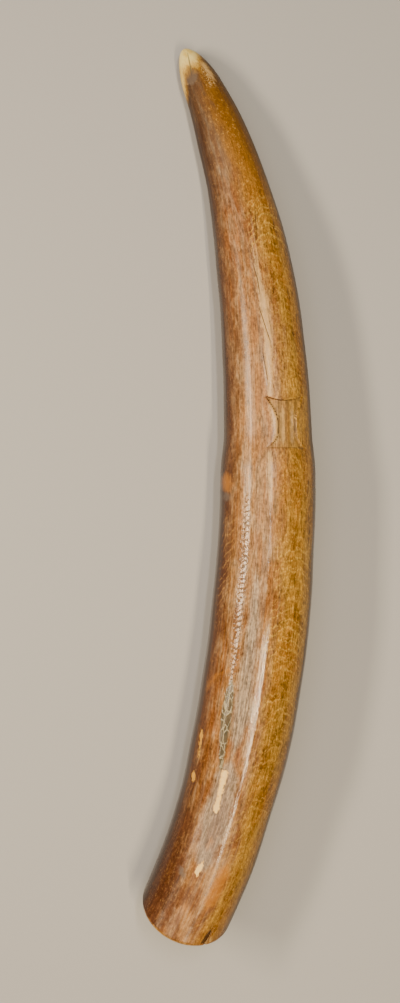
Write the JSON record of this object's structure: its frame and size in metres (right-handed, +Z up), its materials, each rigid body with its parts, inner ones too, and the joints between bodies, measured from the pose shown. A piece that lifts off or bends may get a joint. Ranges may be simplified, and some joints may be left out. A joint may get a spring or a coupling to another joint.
{
  "type": "carved altar tusk",
  "caption": "Curved hollow-rooted ivory tusk with a glossy brown patina, a pale worn tip and a small carved recess, lying on its side.",
  "frame": {"origin": "on the ground, under the middle of the tusk's box as it lies on its side", "axes": "+Y along the tusk towards the tip, +X towards the outside of the bend, +Z up"},
  "size_m": [0.1626, 0.8422, 0.0877],
  "materials": {
    "aged_ivory": "old ivory, polished by handling, with a brown translucent patina"
  },
  "bodies": {
    "root": {"tusk": "aged_ivory"}
  },
  "joints": []
}
